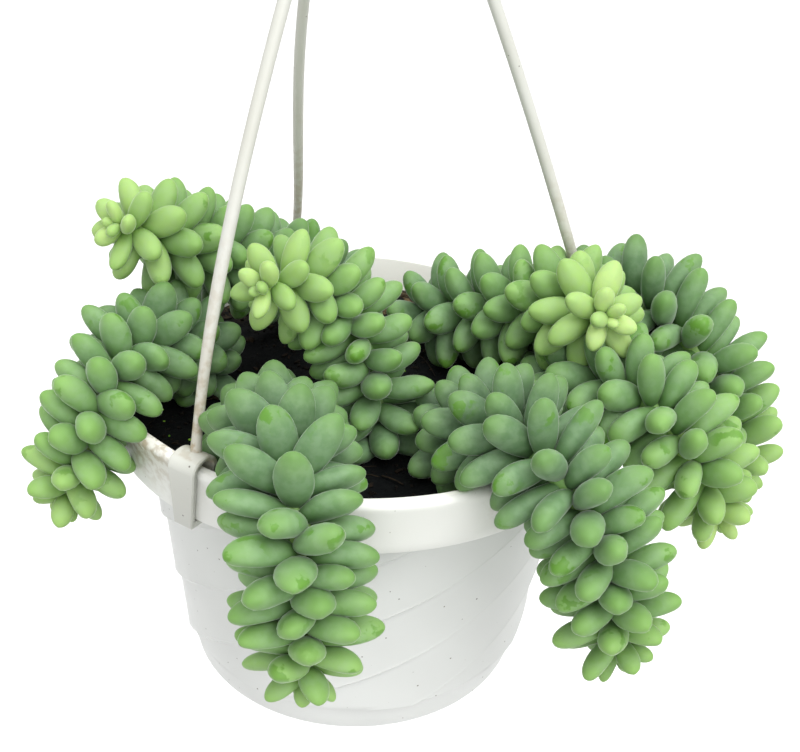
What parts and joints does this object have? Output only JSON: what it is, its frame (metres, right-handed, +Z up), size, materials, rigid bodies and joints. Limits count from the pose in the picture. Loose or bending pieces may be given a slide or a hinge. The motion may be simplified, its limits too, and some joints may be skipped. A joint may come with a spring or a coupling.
{
  "type": "potted burros tail plant",
  "caption": "Hanging pot of burros tail: plump trailing leafy stems in a white swirled pot with a clip-on hanger and hook.",
  "frame": {"origin": "middle of the pot's underside", "axes": "+Z up along the pot's axis to the hook, -Y towards the side the picture shows, +X to that side's right"},
  "size_m": [0.2015, 0.1757, 0.2903],
  "materials": {
    "pot": "satin white plastic with grey specks",
    "hanger": "satin warm white plastic",
    "soil": "damp potting soil with bark and fibres",
    "leaves": "fleshy leaf with a pale bloom"
  },
  "bodies": {
    "root": {"pot": "pot", "hanger": "hanger", "soil": "soil", "stem_front_left": "leaves", "stem_front_right": "leaves", "stem_left": "leaves", "stem_upper_left": "leaves", "stem_centre": "leaves", "stem_upper_right": "leaves", "stem_far_right": "leaves", "stem_right": "leaves"}
  },
  "joints": []
}
